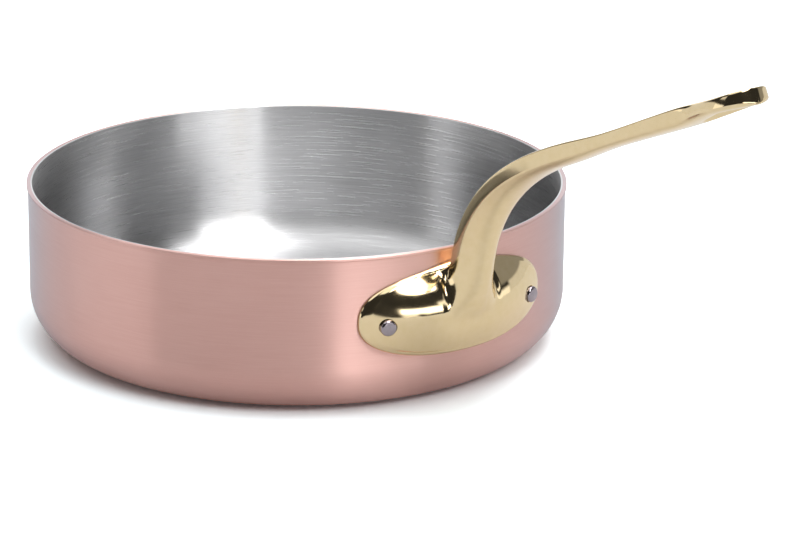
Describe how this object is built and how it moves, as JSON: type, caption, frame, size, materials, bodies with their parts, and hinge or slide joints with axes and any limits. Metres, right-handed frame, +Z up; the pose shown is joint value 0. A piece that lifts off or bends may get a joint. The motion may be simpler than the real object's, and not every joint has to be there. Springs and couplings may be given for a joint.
{
  "type": "saute pan",
  "caption": "Straight-sided round saute pan with a copper outside, a steel inside and one long raised cast handle riveted to its wall.",
  "frame": {"origin": "on the pan's axis, at the flat underside of its base", "axes": "+Z up along the pan's axis; +X from the axis out towards the handle's tip"},
  "size_m": [0.4176, 0.24, 0.1784],
  "materials": {
    "copper": "satin copper, finely brushed round the wall",
    "steel": "brushed round the wall and the floor",
    "cast_metal": "polished pale gold bronze",
    "rivet_steel": "polished"
  },
  "bodies": {
    "root": {"copper_shell": "copper", "steel_lining": "steel", "handle": "cast_metal", "rivet_left": "rivet_steel", "rivet_right": "rivet_steel"}
  },
  "joints": []
}
